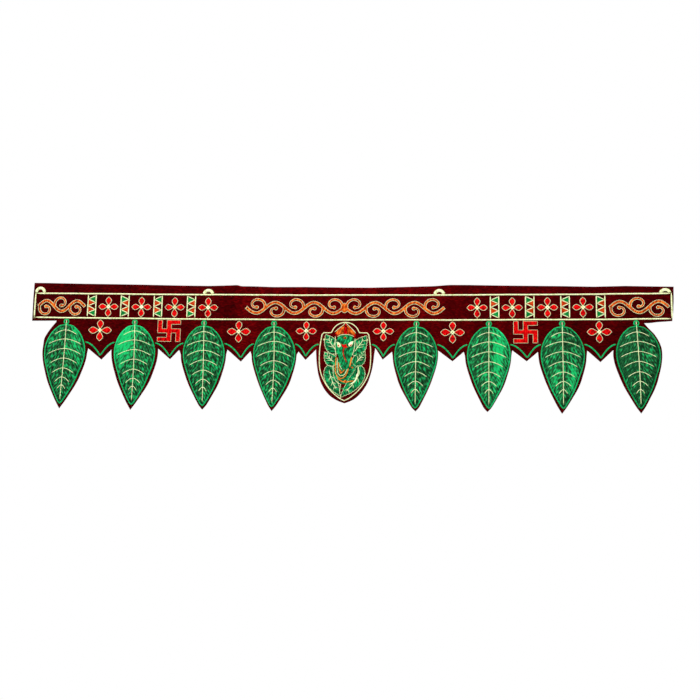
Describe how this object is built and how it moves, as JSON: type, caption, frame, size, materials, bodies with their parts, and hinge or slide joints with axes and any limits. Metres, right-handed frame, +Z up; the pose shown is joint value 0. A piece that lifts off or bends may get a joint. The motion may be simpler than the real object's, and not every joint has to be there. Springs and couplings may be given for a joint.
{
  "type": "toran door hanging",
  "caption": "Long embroidered velvet door hanging with a bordered band over leaf pendants, cut points and a central shield, hung along its top edge.",
  "frame": {"origin": "middle of the top edge, on the back face that lies against the wall or lintel", "axes": "+X to the right along the length as seen from the front, +Y backwards out of the back face, so the embroidered front faces -Y, +Z up"},
  "size_m": [0.9398, 0.0081, 0.1901],
  "materials": {
    "velvet": "matte short pile velvet, dark maroon, plain woven back",
    "green_thread": "shiny machine embroidery thread with cream veins",
    "figure_thread": "shiny machine embroidery thread in green, cream, orange and red",
    "green_line": "satin stitched line",
    "cream_cord": "satin stitched cream line",
    "red_thread": "shiny red embroidery thread edged in cream",
    "orange_thread": "shiny orange embroidery thread edged in cream"
  },
  "bodies": {
    "root": {"ground_cloth": "velvet", "leaf_1": "green_thread", "leaf_2": "green_thread", "leaf_3": "green_thread", "leaf_4": "green_thread", "leaf_5": "green_thread", "leaf_6": "green_thread", "leaf_7": "green_thread", "leaf_8": "green_thread", "figure_pad": "figure_thread", "shield_line": "cream_cord", "border_top": "cream_cord", "border_bottom": "cream_cord", "border_left": "cream_cord", "border_right": "cream_cord", "divider_1": "cream_cord", "divider_2": "cream_cord", "divider_3": "cream_cord", "divider_4": "cream_cord", "divider_5": "cream_cord", "divider_6": "cream_cord", "divider_7": "cream_cord", "divider_8": "cream_cord", "half_ring_1": "cream_cord", "half_ring_2": "cream_cord", "half_ring_3": "cream_cord", "half_ring_4": "cream_cord", "flower_01": "red_thread", "flower_02": "red_thread", "flower_03": "red_thread", "flower_04": "red_thread", "flower_05": "red_thread", "flower_06": "red_thread", "flower_07": "red_thread", "flower_08": "red_thread", "flower_09": "red_thread", "flower_10": "red_thread", "flower_11": "red_thread", "flower_12": "red_thread", "flower_13": "red_thread", "flower_14": "red_thread", "sign_left": "red_thread", "sign_right": "red_thread", "scallop_1": "green_line", "scallop_2": "green_line", "scallop_3": "green_line", "scallop_4": "green_line", "scallop_5": "green_line", "scallop_6": "green_line", "scallop_7": "green_line", "scallop_8": "green_line", "scroll_left": "orange_thread", "scroll_centre": "orange_thread", "scroll_right": "orange_thread"}
  },
  "joints": []
}
